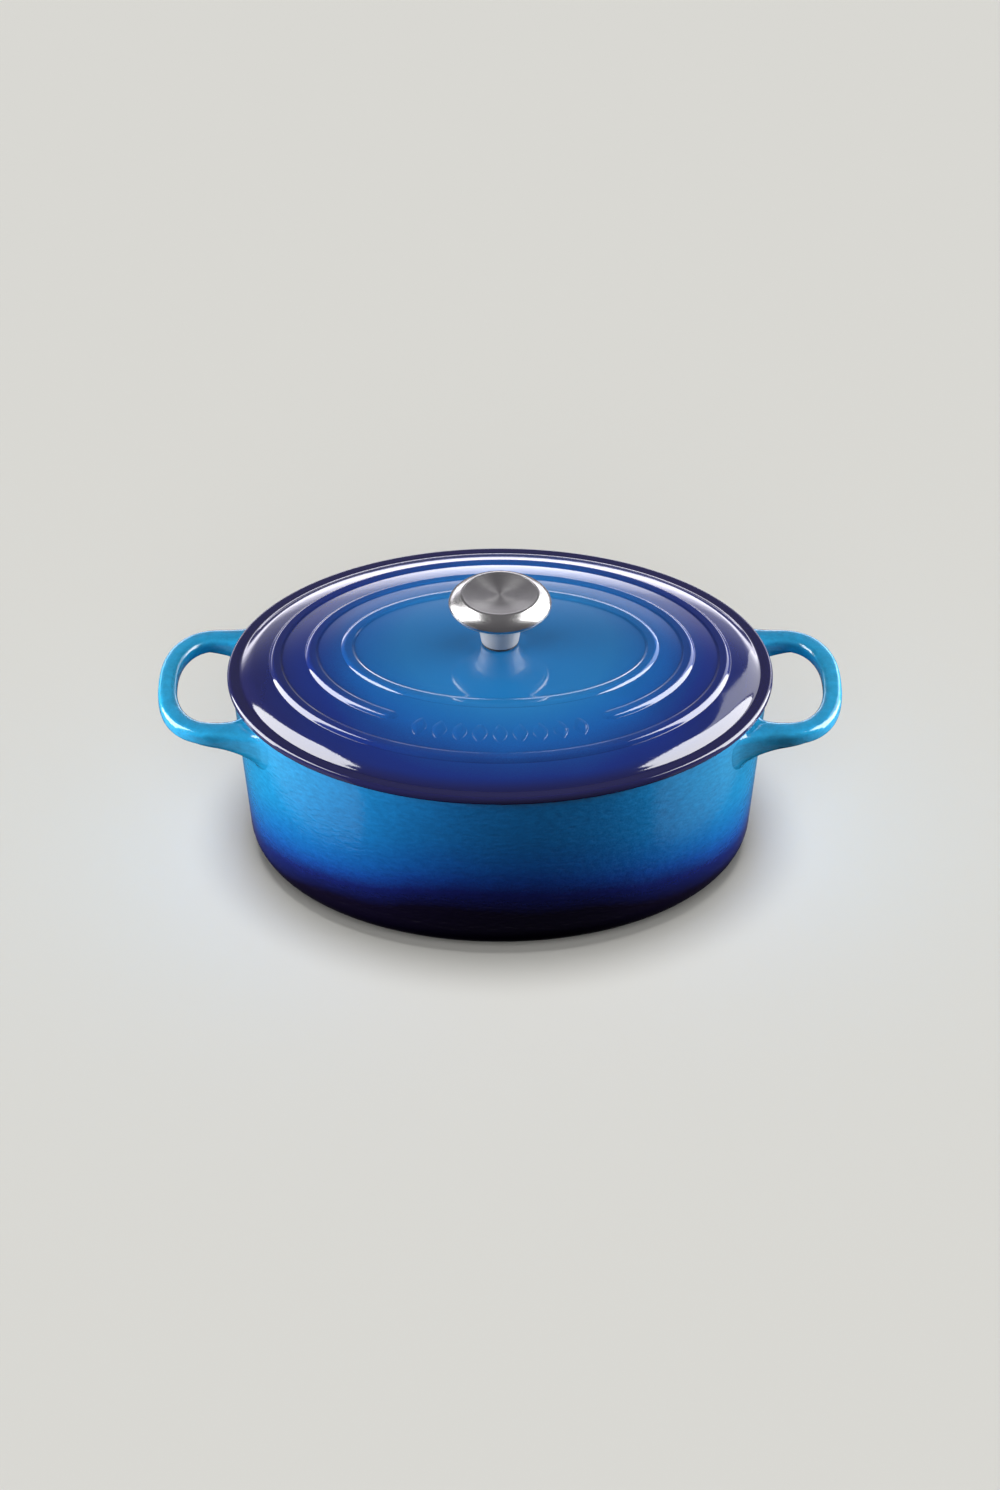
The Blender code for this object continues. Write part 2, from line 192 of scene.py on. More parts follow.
def make_floor():
    """A flat square with an even matt finish. It is kept out of the gloss and the bounced light of the oven."""
    corners = [(-1, -1), (1, -1), (1, 1), (-1, 1)]
    mesh = bpy.data.meshes.new("floor")
    mesh.from_pydata([(FLOOR_HALF * x, FLOOR_HALF * y, -FLOOR_DROP) for x, y in corners], [], [(0, 1, 2, 3)])
    floor = bpy.data.objects.new("floor", mesh)
    bpy.context.scene.collection.objects.link(floor)
    paper = bpy.data.materials.new("pale_paper")
    paper.use_nodes = True
    shader = paper.node_tree.nodes["Principled BSDF"]
    shader.inputs["Base Color"].default_value = (*FLOOR_TINT, 1)
    shader.inputs["Roughness"].default_value = 1.0
    shader.inputs["Specular IOR Level"].default_value = 0.0
    mesh.materials.append(paper)
    floor.visible_glossy = False
    floor.visible_diffuse = False
    return floor


floor = make_floor()
print("floor", floor.dimensions[:])

# %% Soft boxes, each with the list of things it may light
def floor_list(name, state):
    """A collection for light linking that holds only the floor, either let in or kept out."""
    chosen = bpy.data.collections.new(name)
    chosen.objects.link(floor)
    chosen.collection_objects[0].light_linking.link_state = state
    return chosen


only_floor = floor_list("only_floor", "INCLUDE")
not_floor = floor_list("not_floor", "EXCLUDE")


def place_light(name, data, location, aim, receivers):
    """Puts a light at a location with its -Z axis towards the aim, hidden from the camera."""
    lamp = bpy.data.objects.new(name, data)
    lamp.location = location
    away = lamp.location - type(lamp.location)(aim)
    lamp.rotation_euler = away.to_track_quat("Z", "Y").to_euler()
    lamp.light_linking.receiver_collection = receivers
    lamp.visible_camera = False
    bpy.context.scene.collection.objects.link(lamp)
    return lamp


def soft_box(name, location, size, radiance, aim, shows=True, warms=True, turn=0):
    """A rectangle of light of a given brightness: its power is four times brightness times area.

    A box that shows is mirrored in gloss, and a box that warms lights the colours. Splitting the two keeps the
    white lines crisp and the blues deep. A turn, in degrees, spins a level box about the upright axis.
    """
    data = bpy.data.lights.new(name, "AREA")
    data.shape = "RECTANGLE"
    data.size, data.size_y = size
    data.energy = 4 * radiance * size[0] * size[1]
    lamp = place_light(name, data, location, aim, not_floor)
    lamp.rotation_euler.z += math.radians(turn)
    lamp.visible_glossy = shows
    lamp.visible_diffuse = warms
    return lamp


boxes = [
    soft_box("left_box", (-1.0, 0.27, 1.02), (0.76, 2.0), 9.0, (0, 0.27, 1.02), warms=False),
    soft_box("right_box", (1.0, 0.32, 1.02), (0.90, 2.0), 9.0, (0, 0.32, 1.02), warms=False),
    soft_box("right_far", (1.0, 1.27, 1.05), (0.9, 1.5), 2.0, (0, 1.27, 1.05), warms=False),
    soft_box("left_wash", (-1.0, -0.22, 0.35), (0.8, 0.7), 12.5, (0, -0.22, 0.35), shows=False),
    soft_box("right_wash", (1.0, 0.10, 0.35), (0.8, 0.7), 13.0, (0, 0.10, 0.35), shows=False),
    soft_box("high_wash", (0.0, -0.3, 2.0), (3.0, 3.0), 0.9, (0, 0, 0), shows=False),
    soft_box("left_card", (-0.68, -0.23, 0.002), (0.5, 1.0), 0.26, (-0.68, -0.23, 1), warms=False, turn=-53.7),
    soft_box("right_card", (0.70, -0.14, 0.002), (0.5, 1.0), 0.17, (0.70, -0.14, 1), warms=False, turn=61.4),
]
print([(box.name, round(box.data.energy, 1)) for box in boxes])

# %% Two suns for the floor only
HIGH_SHARE = 0.70  # of the floor's light, the share that comes from overhead
HIGH_ANGLE = math.radians(27)
FRONT_ANGLE = math.radians(52)
FRONT_TILT = math.radians(50)
SUN_DISTANCE = 3


def make_floor_suns():
    """An overhead sun draws the soft shadow, and a wider one from the front keeps it pale close to the foot.

    Paper under a strength of pi returns exactly its own tint, so the shares of the two suns add up to that. A
    tilted sun is spread thinner by the cosine of its tilt, and its strength makes up for it.
    """
    made = []
    for name, share, angle, tilt in (("floor_sun", HIGH_SHARE, HIGH_ANGLE, 0.0),
                                     ("front_sun", 1 - HIGH_SHARE, FRONT_ANGLE, FRONT_TILT)):
        data = bpy.data.lights.new(name, "SUN")
        data.energy = math.pi * share / math.cos(tilt)
        data.angle = angle
        location = (0, -SUN_DISTANCE * math.sin(tilt), SUN_DISTANCE * math.cos(tilt))
        made.append(place_light(name, data, location, (0, 0, 0), only_floor))
    return made


floor_suns = make_floor_suns()
print([(sun.name, round(sun.data.energy, 2)) for sun in floor_suns])

# %% [markdown]
# ## Material tools
#
# Short helpers keep the node trees readable. Effects that several finishes share are node groups: the drift
# of a sprayed glaze, the slight ripple of its surface, and the faint marks that handling leaves.

# %% Node helpers
def node(tree, kind, inputs=None, **settings):
    """Adds a node. Each input is either a socket to link from, or a plain value."""
    made = tree.nodes.new(kind)
    for key, value in settings.items():
        setattr(made, key, value)
    for key, value in (inputs or {}).items():
        if isinstance(value, bpy.types.NodeSocket):
            tree.links.new(value, made.inputs[key])
        else:
            made.inputs[key].default_value = value
    return made


def maths(tree, operation, *values):
    """The output of one Math node."""
    return node(tree, "ShaderNodeMath", dict(enumerate(values)), operation=operation).outputs[0]


def vectors(tree, operation, first, second):
    """The vector that one Vector Math node gives."""
    return node(tree, "ShaderNodeVectorMath", {0: first, 1: second}, operation=operation).outputs[0]


def span(tree, value, start, end, low=0.0, high=1.0, **settings):
    """The value moved from the range start to end into the range low to high, and held there."""
    limits = {0: value, 1: start, 2: end, 3: low, 4: high}
    return node(tree, "ShaderNodeMapRange", limits, **settings).outputs[0]


def shared(tree, group, place, **inputs):
    """What a shared effect gives at each place."""
    return node(tree, "ShaderNodeGroup", {"Place": place, **inputs}, node_tree=group).outputs[0]


def attribute(tree, name):
    """A number that the mesh carries for each point."""
    return node(tree, "ShaderNodeAttribute", attribute_name=name).outputs["Fac"]


def level_distance(tree, place):
    """Distance from the upright axis: the length of the place with its height taken out."""
    flat = vectors(tree, "MULTIPLY", place, (1.0, 1.0, 0.0))
    return node(tree, "ShaderNodeVectorMath", {0: flat}, operation="LENGTH").outputs["Value"]


def add_bump(tree, shader, height, depth, strength=1.0):
    """Tilts the shading as if the surface rose by the height times the depth, in metres."""
    made = node(tree, "ShaderNodeBump", {"Height": height, "Strength": strength, "Distance": depth})
    tree.links.new(made.outputs[0], shader.inputs["Normal"])


def colour_ramp(tree, factor, stops):
    """A smooth run of colours, from (position, colour) pairs."""
    made = node(tree, "ShaderNodeValToRGB", {0: factor})
    elements = made.color_ramp.elements
    for _ in stops[2:]:
        elements.new(0.5)
    for element, (position, colour) in zip(elements, stops):
        element.position = position
        element.color = (*colour, 1)
    return made.outputs[0]


def mix_colour(tree, factor, first, second):
    """The first colour where the factor is 0, and the second where it is 1."""
    made = node(tree, "ShaderNodeMix", {0: factor}, data_type="RGBA")
    for socket, value in ((made.inputs[6], first), (made.inputs[7], second)):
        if isinstance(value, bpy.types.NodeSocket):
            tree.links.new(value, socket)
        else:
            socket.default_value = (*value, 1)
    return made.outputs[2]


def new_group(name, inputs, output):
    """An empty group with a place and some numbers as inputs, and one number as its output."""
    tree = bpy.data.node_groups.new(name, "ShaderNodeTree")
    tree.interface.new_socket("Place", in_out="INPUT", socket_type="NodeSocketVector")
    for title in inputs:
        tree.interface.new_socket(title, in_out="INPUT", socket_type="NodeSocketFloat")
    tree.interface.new_socket(output, in_out="OUTPUT", socket_type="NodeSocketFloat")
    return tree, node(tree, "NodeGroupInput").outputs, node(tree, "NodeGroupOutput").inputs


def noise(tree, vector, scale, detail):
    """Noise from 0 to 1."""
    return node(tree, "ShaderNodeTexNoise", {"Vector": vector, "Scale": scale, "Detail": detail}).outputs[0]


def start_material(name, roughness, metallic=0.0, ior=1.5):
    """A material, its tree, its shader, and the place on the object that its patterns follow."""
    material = bpy.data.materials.new(name)
    material.use_nodes = True
    tree = material.node_tree
    shader = tree.nodes["Principled BSDF"]
    shader.inputs["Roughness"].default_value = roughness
    shader.inputs["Metallic"].default_value = metallic
    shader.inputs["IOR"].default_value = ior
    place = node(tree, "ShaderNodeTexCoord").outputs["Object"]
    return material, tree, shader, place


print("helpers ready")

# %% Sky
SKY_TINT = (1.0, 0.97, 1.05)
SKY_DIM = [(0.0, 0.0), (0.17, 0.03), (0.21, 0.13), (0.60, 0.16)]
SKY_LINE = [(0.505, 0.0), (0.525, 0.85), (0.56, 1.0), (0.585, 0.42), (0.615, 0.0)]
SKY_HAZE = [(0.56, 0.0), (0.60, 0.20), (0.66, 0.13), (0.70, 0.08), (0.76, 0.03), (0.88, 0.0)]
GLOW_STRENGTH = 6.0
LINE_SPREAD = (0.66, 0.98)  # how far back a direction points where the line starts and where it is full
HAZE_SPREAD = (0.72, 0.98)


def make_world(seen):
    """The camera sees one pale tone. Gloss sees a dim sky, a bright line behind the oven, and a haze over it.

    All three are ramps over a direction's height, moved from -1..1 into 0..1. The line and the haze fade in
    with how far a direction points to the back, the haze later.
    """
    world = bpy.data.worlds.new("studio")
    world.use_nodes = True
    bpy.context.scene.world = world
    tree = world.node_tree
    tree.nodes.clear()
    direction = node(tree, "ShaderNodeTexCoord").outputs["Generated"]
    split = node(tree, "ShaderNodeSeparateXYZ", {0: direction}).outputs
    height = maths(tree, "MULTIPLY_ADD", split["Z"], 0.5, 0.5)
    sides, behind = (span(tree, split["Y"], *spread, interpolation_type="SMOOTHSTEP")
                     for spread in (LINE_SPREAD, HAZE_SPREAD))
    dim, thin, haze = (colour_ramp(tree, height, [(place, (value,) * 3) for place, value in stops])
                       for stops in (SKY_DIM, SKY_LINE, SKY_HAZE))
    glow = maths(tree, "MULTIPLY_ADD", haze, behind, maths(tree, "MULTIPLY", thin, sides))
    strength = maths(tree, "ADD", dim, maths(tree, "MULTIPLY", glow, GLOW_STRENGTH))
    lit = node(tree, "ShaderNodeBackground", {"Color": (*SKY_TINT, 1), "Strength": strength})
    pale = node(tree, "ShaderNodeBackground", {"Color": (*seen, 1)})
    direct = node(tree, "ShaderNodeLightPath").outputs["Is Camera Ray"]
    mix = node(tree, "ShaderNodeMixShader", {0: direct, 1: lit.outputs[0], 2: pale.outputs[0]})
    node(tree, "ShaderNodeOutputWorld", {"Surface": mix.outputs[0]})
    world.cycles_visibility.diffuse = False
    return world


make_world(FLOOR_TINT)
print("sky ready")

# %% Spray drift: soft clouds and fine grain that move a colour's edge to and fro
def make_spray_drift():
    """Drift is cloud times a broad noise plus grain times a fine noise, both about zero, in metres."""
    tree, given, out = new_group("spray_drift", ["Cloud", "Grain"], "Drift")
    broad = maths(tree, "SUBTRACT", noise(tree, given["Place"], 16.0, 2.0), 0.5)
    fine = maths(tree, "SUBTRACT", noise(tree, given["Place"], 1300.0, 2.0), 0.5)
    cloud = maths(tree, "MULTIPLY", broad, given["Cloud"])
    grain = maths(tree, "MULTIPLY", fine, given["Grain"])
    tree.links.new(maths(tree, "ADD", cloud, grain), out["Drift"])
    return tree


def make_ripple():
    """Ripple height: noise that is squeezed upwards, so its bumps lie level, plus a finer noise."""
    tree, given, out = new_group("glaze_ripple", ["Fine"], "Height")
    broad = noise(tree, vectors(tree, "MULTIPLY", given["Place"], (1.0, 1.0, 2.4)), 210.0, 2.0)
    fine = noise(tree, given["Place"], 700.0, 1.0)
    tree.links.new(maths(tree, "ADD", broad, maths(tree, "MULTIPLY", fine, given["Fine"])), out["Height"])
    return tree


def make_polish_marks():
    """Roughness runs from low to high with a cloudy noise, where cloths and fingers have touched."""
    tree, given, out = new_group("polish_marks", ["Low", "High"], "Roughness")
    cloudy = noise(tree, given["Place"], 45.0, 4.0)
    tree.links.new(span(tree, cloudy, 0.3, 0.7, given["Low"], given["High"]), out["Roughness"])
    return tree


spray_drift = make_spray_drift()
glaze_ripple = make_ripple()
polish_marks = make_polish_marks()
print("groups", [group.name for group in bpy.data.node_groups])

# %% [markdown]
# ## The glaze
# Enamel is glass, fused on the iron: smooth, hard and glossy, with a slow colour change where the dark coat
# fades out over the bright one. On the pot the colour follows the height, and the front and back walls are
# drawn darker than the ends, as painted shade. On the lid it follows the distance from a middle a little right
# of the knob, which darkens the left as painted shade, and it is round even though the lid is oval. On a sharp
# corner the glass pulls thin and shows lighter, and in a hollow it gathers and shows darker; the lighter
# corners also serve as painted highlight and the darker hollows as painted shade in the creases. Each mesh
# carries that bend as an attribute, and on the handles the same attribute holds painted glints on the corners
# of the section.

# %% Glaze materials
GLAZE_IOR = 1.6
THIN_GLAZE_AND_SHEEN_TINT = (1.5, 1.5, 1.35)  # what a sharp corner multiplies the colour by: thin glass, and partly a painted highlight
THIN_GLAZE_AND_SHEEN_SHARE = 0.8
DEEP_GLAZE_AND_SHADE_TINT = (0.55, 0.45, 0.5)  # and what a hollow does: pooled glass, and partly painted shade in the crease
DEEP_GLAZE_AND_SHADE_SHARE = 0.9


def apply_glaze(tree, shader, place, colour, ripple_depth, rough):
    """Lightens the corners as thin glass and painted highlight, darkens the hollows as pooled glass and painted
    shade, and gives the glass its ripple and its faint marks.
    """
    bend = attribute(tree, "bend")
    lighter = vectors(tree, "MULTIPLY", colour, THIN_GLAZE_AND_SHEEN_TINT)
    darker = vectors(tree, "MULTIPLY", colour, DEEP_GLAZE_AND_SHADE_TINT)
    colour = mix_colour(tree, span(tree, bend, 0.0, 1.0, 0.0, THIN_GLAZE_AND_SHEEN_SHARE), colour, lighter)
    colour = mix_colour(tree, span(tree, bend, 0.0, -1.0, 0.0, DEEP_GLAZE_AND_SHADE_SHARE), colour, darker)
    tree.links.new(colour, shader.inputs["Base Color"])
    add_bump(tree, shader, shared(tree, glaze_ripple, place, Fine=0.25), ripple_depth)
    tree.links.new(shared(tree, polish_marks, place, Low=rough[0], High=rough[1]), shader.inputs["Roughness"])


FRONT_SHADE_TINT = (0.80, 0.62, 0.98)  # painted shade: the front and back walls are tinted this way, darker and bluer than the ends' azure
POT_COLOURS = [
    (0.00, (0.002, 0.0012, 0.006)),
    (0.17, (0.003, 0.0018, 0.01)),
    (0.29, (0.006, 0.014, 0.1)),
    (0.37, (0.006, 0.06, 0.25)),
    (0.46, (0.006, 0.115, 0.33)),
    (0.64, (0.008, 0.19, 0.395)),
    (0.9, (0.011, 0.245, 0.45)),
]
FRONT_SHADE_LIFT = 0.025  # painted shade: how much higher the dark coat is drawn at the front and the back than at the ends
END_SHADE_DROP = 0.010  # and how much lower it is drawn at the ends, which lightens them as painted light


def make_pot_glaze():
    """The ramp reads height plus drift, less a lift that grows with the square of how far front or back it is.

    That lift, and the tint that leans the same way, are painted shade on the front and back walls. A fine
    speckle makes the colour a little lighter and darker.
    """
    material, tree, shader, place = start_material("azure_pot_glaze", 0.1, ior=GLAZE_IOR)
    split = node(tree, "ShaderNodeSeparateXYZ", {0: place}).outputs
    # painted shade: front_shade_mask grows towards the front and back, where the colour is drawn darker and
    # bluer
    sideways = maths(tree, "DIVIDE", split["Y"], lid_high[1])
    front_shade_mask = maths(tree, "MULTIPLY", sideways, sideways)
    lift = maths(tree, "MULTIPLY_ADD", front_shade_mask, FRONT_SHADE_LIFT, -END_SHADE_DROP)
    drift = shared(tree, spray_drift, place, Cloud=0.014, Grain=0.008)
    height = maths(tree, "ADD", maths(tree, "SUBTRACT", split["Z"], lift), drift)
    colour = colour_ramp(tree, maths(tree, "DIVIDE", height, pot_high[2]), POT_COLOURS)
    tint = mix_colour(tree, front_shade_mask, (1.0, 1.0, 1.0), FRONT_SHADE_TINT)
    colour = vectors(tree, "MULTIPLY", colour, tint)
    speckle = shared(tree, glaze_ripple, place, Fine=0.4)
    depth = span(tree, speckle, 0.4, 1.0, 0.82, 1.18)
    colour = node(tree, "ShaderNodeVectorMath", {0: colour, "Scale": depth}, operation="SCALE").outputs[0]
    apply_glaze(tree, shader, place, colour, 0.00020, (0.07, 0.13))
    return material


LID_REACH = 0.150  # distance from the knob that the ramp's end stands for
LID_COLOURS = [
    (0.00, (0.012, 0.14, 0.365)),
    (0.38, (0.011, 0.135, 0.355)),
    (0.48, (0.006, 0.103, 0.325)),
    (0.56, (0.004, 0.077, 0.29)),
    (0.64, (0.004, 0.039, 0.19)),
    (0.72, (0.0045, 0.0175, 0.139)),
    (0.8, (0.0055, 0.0138, 0.105)),
    (0.92, (0.007, 0.009, 0.06)),
]
LID_SHADE_SHIFT = -0.004  # painted shade: the ramp's middle, a little right of the knob's axis, so the left side reads darker
FLANGE_COLOUR = (0.0078, 0.0078, 0.0520)


def make_lid_glaze():
    """The ramp reads the level distance plus drift from a middle set a little right of the knob, a painted
    shade that darkens the left. The flange is dark all round.
    """
    material, tree, shader, place = start_material("azure_lid_glaze", 0.1, ior=GLAZE_IOR)
    moved = vectors(tree, "ADD", place, (LID_SHADE_SHIFT, 0.0, 0.0))
    drift = shared(tree, spray_drift, place, Cloud=0.012, Grain=0.010)
    reach = maths(tree, "ADD", level_distance(tree, moved), drift)
    colour = colour_ramp(tree, maths(tree, "DIVIDE", reach, LID_REACH), LID_COLOURS)
    colour = mix_colour(tree, attribute(tree, "brim"), colour, FLANGE_COLOUR)
    apply_glaze(tree, shader, place, colour, 0.00002, (0.05, 0.09))
    return material


def make_sand_glaze():
    """The pale inner enamel, with a little mottling and a slightly softer gloss."""
    material, tree, shader, place = start_material("sand_glaze", 0.18, ior=1.52)
    speck = noise(tree, place, 160.0, 4.0)
    colour = colour_ramp(tree, speck, [(0.3, (0.54, 0.47, 0.345)), (0.7, (0.59, 0.51, 0.38))])
    apply_glaze(tree, shader, place, colour, 0.00003, (0.12, 0.22))
    return material


pot_glaze = make_pot_glaze()
lid_glaze = make_lid_glaze()
sand_glaze = make_sand_glaze()
print("glazes", pot_glaze.name, lid_glaze.name, sand_glaze.name)

# %% [markdown]
# ## Ovals
#
# Every level line of the pot and the lid is the lid's edge drawn in by some distance, its inset. So a whole
# shell is a list of insets with their heights, each spread round an oval. The bend is how much the profile
# turns for each millimetre that it runs, positive on corners and negative in hollows.

# %% Ovals and their bend
HALF_LENGTH = lid_high[0]
HALF_WIDTH = lid_high[1]


def round_angles(count):
    """Even steps round a circle: the full turn times k / count."""
    return math.tau * np.arange(count) / count


def oval_points(half_x, half_y, heights, columns):
    """Points half_x times cosine, half_y times sine, at the heights, one row for each pair of half-axes."""
    angle = round_angles(columns)
    x = np.asarray(half_x)[:, None] * np.cos(angle)
    y = np.asarray(half_y)[:, None] * np.sin(angle)
    return np.stack([x, y, np.broadcast_to(heights, x.shape)], axis=-1)


def bend_of(profile, strength):
    """How sharply a profile of (across, height) turns to the right, over a millimetre, times a strength."""
    step = np.diff(profile, axis=0)
    heading = np.unwrap(np.arctan2(step[:, 1], step[:, 0]))
    length = np.maximum(np.hypot(step[:, 0], step[:, 1]), 1e-5)
    turn = np.zeros(len(profile))
    turn[1:-1] = -np.diff(heading) / (length[1:] + length[:-1]) * 0.002
    return turn * strength


print("half axes", round(HALF_LENGTH, 4), round(HALF_WIDTH, 4))

# %% [markdown]
# ## The pot
#
# The casting is one bowl: a flat foot, a round corner, a wall that leans out slightly, a rim with two soft
# edges, and the same again inside. A profile carried round the oval gives an exact thickness, and a wall that
# stays even under gloss.

# %% Pot profile
RIM_Z = pot_high[2]
POT_INSET = 0.0024
WALL = 0.0036
WALL_SLOPE = 0.085
BASE_FILLET = 0.019
FLOOR_THICKNESS = 0.0045
FLOOR_FILLET = 0.020
FOOT_WIDTH = 0.014
FOOT_RECESS = 0.0008
RIM_EDGE = 0.0012
FLAT_EDGE = 0.004  # width of the level strip at the edge of both flat middles
POT_COLUMNS = 400


def wall_inset(z):
    """Inset of the outer wall, which grows evenly below the rim."""
    return POT_INSET + WALL_SLOPE * (RIM_Z - z)


def pot_profile():
    """(inset, height) from the foot, up the outside and down to the floor, and each row's finish."""
    foot = wall_inset(BASE_FILLET) + BASE_FILLET
    corner = foot + FOOT_WIDTH
    lip = wall_inset(RIM_Z)
    inner_top = FLOOR_THICKNESS + FLOOR_FILLET
    floor = wall_inset(inner_top) + WALL + FLOOR_FILLET
    outside = np.concatenate([
        line((corner + FLAT_EDGE, FOOT_RECESS), (corner + FOOT_RECESS, FOOT_RECESS), 3),
        line((corner + FOOT_RECESS, FOOT_RECESS), (corner, 0.0), 3),
        line((corner, 0.0), (foot, 0.0), 4),
        arc((foot, BASE_FILLET), BASE_FILLET, 270, 180, 18),
        line((foot - BASE_FILLET, BASE_FILLET), (lip, RIM_Z - RIM_EDGE), 26),
        arc((lip + RIM_EDGE, RIM_Z - RIM_EDGE), RIM_EDGE, 180, 90, 7),
    ])
    inside = np.concatenate([
        line((lip + RIM_EDGE, RIM_Z), (lip + WALL - RIM_EDGE, RIM_Z), 2),
        arc((lip + WALL - RIM_EDGE, RIM_Z - RIM_EDGE), RIM_EDGE, 90, 0, 7),
        line((lip + WALL, RIM_Z - RIM_EDGE), (floor - FLOOR_FILLET, inner_top), 22),
        arc((floor, inner_top), FLOOR_FILLET, 180, 270, 16),
        line((floor, FLOOR_THICKNESS), (floor + FLAT_EDGE, FLOOR_THICKNESS), 2),
    ])
    finish = np.concatenate([np.zeros(len(outside), int), np.ones(len(inside), int)])
    return np.concatenate([outside, inside]), finish


def make_pot():
    """The profile carried round the oval. Both flat middles are shrunk copies of the last oval."""
    profile, finish = pot_profile()
    half_x = HALF_LENGTH - profile[:, 0]
    half_y = HALF_WIDTH - profile[:, 0]
    shrink = np.array([0.03, 0.2, 0.4, 0.6, 0.8])
    half_x = np.concatenate([half_x[0] * shrink, half_x, half_x[-1] * shrink[::-1]])
    half_y = np.concatenate([half_y[0] * shrink, half_y, half_y[-1] * shrink[::-1]])
    flat = np.ones(len(shrink))
    z = np.concatenate([profile[0, 1] * flat, profile[:, 1], profile[-1, 1] * flat])
    bend = np.concatenate([0 * flat, bend_of(profile * (-1, 1), -0.5), 0 * flat])
    slots = np.concatenate([0 * flat, finish, flat]).astype(int)
    points = oval_points(half_x, half_y, z[:, None], POT_COLUMNS)
    return mesh_from("pot_shell", points, [pot_glaze, sand_glaze], slots=slots, values={"bend": bend[:, None]})


pot_shell = make_pot()

# %% [markdown]
# ## The handles
#
# Each handle is a flat loop cast in one with the pot: two legs and a grip between them. Its middle line is
# straight, then half of a superellipse. A rounded section is carried along it and grows near the wall, as the
# fillets of a casting do, and its end follows the curve of the wall.

# %% Handle measures
HANDLE_Z = 0.1013
HANDLE_REACH = 0.1818
GRIP_HALF_WIDTH = 0.0052
LEG_HALF_WIDTH = 0.0065
HALF_THICKNESS = 0.0045
LEG_Y = 0.0440
LEG_END_X = 0.1545
LOOP_POWER = 2.35
SECTION_POWER = 3.2
ROOT_POWER = 2.2  # sections turn rounder towards the wall
ROOT_LENGTH = 0.019
FLARE = {"out": 0.0090, "in": 0.0095, "up": 0.0010, "down": 0.0075}
LEG_DROP = 0.28
DROP_START_X = 0.1630
LEG_ROWS = 26
GRIP_ROWS = 110
SECTION_COLUMNS = 56
ROOT_DEPTH = 0.0018  # how far the root reaches into the wall
ROOT_SPREAD = 0.35  # how much the fillet goes on widening inside the wall


def signed_power(value, power):
    """A power that keeps the value's sign."""
    return np.sign(value) * np.abs(value) ** power


def wall_x(y, inset):
    """Where the oval at an inset is, sideways, at a given y."""
    return (HALF_LENGTH - inset) * np.sqrt(1 - (y / (HALF_WIDTH - inset)) ** 2)


def handle_line(leg_steps, grip_steps):
    """Each row's middle in x and y, its outward direction, and its share of the way up the leg."""
    share = (np.arange(leg_steps) / leg_steps) ** 2  # rows crowd towards the wall
    angle = math.pi * (np.arange(grip_steps + 1) / grip_steps - 0.5)
    x = LEG_END_X + (HANDLE_REACH - LEG_END_X) * signed_power(np.cos(angle), 2 / LOOP_POWER)
    y = LEG_Y * signed_power(np.sin(angle), 2 / LOOP_POWER)
    slope_x = signed_power(np.cos(angle), 2 - 2 / LOOP_POWER) / (HANDLE_REACH - LEG_END_X)
    slope_y = signed_power(np.sin(angle), 2 - 2 / LOOP_POWER) / LEG_Y
    normal = np.stack([slope_x, slope_y], axis=1)
    normal /= np.linalg.norm(normal, axis=1)[:, None]
    leg_x = LEG_END_X * np.ones(leg_steps)
    leg = np.stack([leg_x, -LEG_Y * np.ones(leg_steps)], axis=1)
    down = np.tile([0.0, -1.0], (leg_steps, 1))
    middle = np.concatenate([leg, np.stack([x, y], axis=1), (leg * (1, -1))[::-1]])
    outward = np.concatenate([down, normal, -down])
    up_leg = np.concatenate([share, np.ones(grip_steps + 1), share[::-1]])
    return middle, outward, up_leg


def make_handle(name, side):
    """Superellipse sections along the loop. Rows on a leg lie between the wall's curve and the leg's end."""
    middle, outward, up_leg = handle_line(LEG_ROWS, GRIP_ROWS)
    wall = wall_x(LEG_Y, wall_inset(HANDLE_Z))
    root_x = wall_x(LEG_Y, wall_inset(HANDLE_Z) + ROOT_DEPTH)
    row_x = root_x + (LEG_END_X - root_x) * up_leg
    row_x = np.where(up_leg < 1, row_x, middle[:, 0])
    near = np.clip(1 - np.maximum(row_x - wall, 0.0) / ROOT_LENGTH, 0, 1)
    depth = np.maximum(wall - row_x, 0.0) / ROOT_DEPTH
    flare = 1 - np.sqrt(1 - near * near) + ROOT_SPREAD * depth
    rounder = np.sqrt(np.minimum(flare, 1))[:, None]
    aside = np.minimum(1, np.abs(middle[:, 1]) / LEG_Y)
    wide = GRIP_HALF_WIDTH + (LEG_HALF_WIDTH - GRIP_HALF_WIDTH) * aside**2
    drop = LEG_DROP * np.maximum(0, DROP_START_X - row_x)
    angle = round_angles(SECTION_COLUMNS)
    power = 2 / (SECTION_POWER + (ROOT_POWER - SECTION_POWER) * rounder)
    u = signed_power(np.cos(angle), power)
    v = signed_power(np.sin(angle), power)
    out, back, up, down = (
        (half + FLARE[way] * flare)[:, None]
        for half, way in ((wide, "out"), (wide, "in"), (HALF_THICKNESS, "up"), (HALF_THICKNESS + drop, "down")))
    reach_out = np.where(u > 0, out, back)
    reach_up = np.where(v > 0, up, down)
    x = middle[:, :1] + outward[:, :1] * u * reach_out
    y = middle[:, 1:] + outward[:, 1:] * u * reach_out
    z = HANDLE_Z + v * reach_up
    root = wall_x(y, wall_inset(z) + ROOT_DEPTH)
    share = up_leg[:, None]
    x = np.where(share < 1, root + (LEG_END_X - root) * share, x)
    points = np.stack([side * x, y, z], axis=-1)
    # painted highlight: the corners of the section are lightened as glints, fading near the wall, through the
    # bend attribute
    corner = 0.4 * np.abs(np.sin(2 * angle)) ** 6 * (1 - rounder)
    return mesh_from(name, points, [pot_glaze], values={"bend": corner})


handles = [make_handle("handle_left", -1), make_handle("handle_right", 1)]

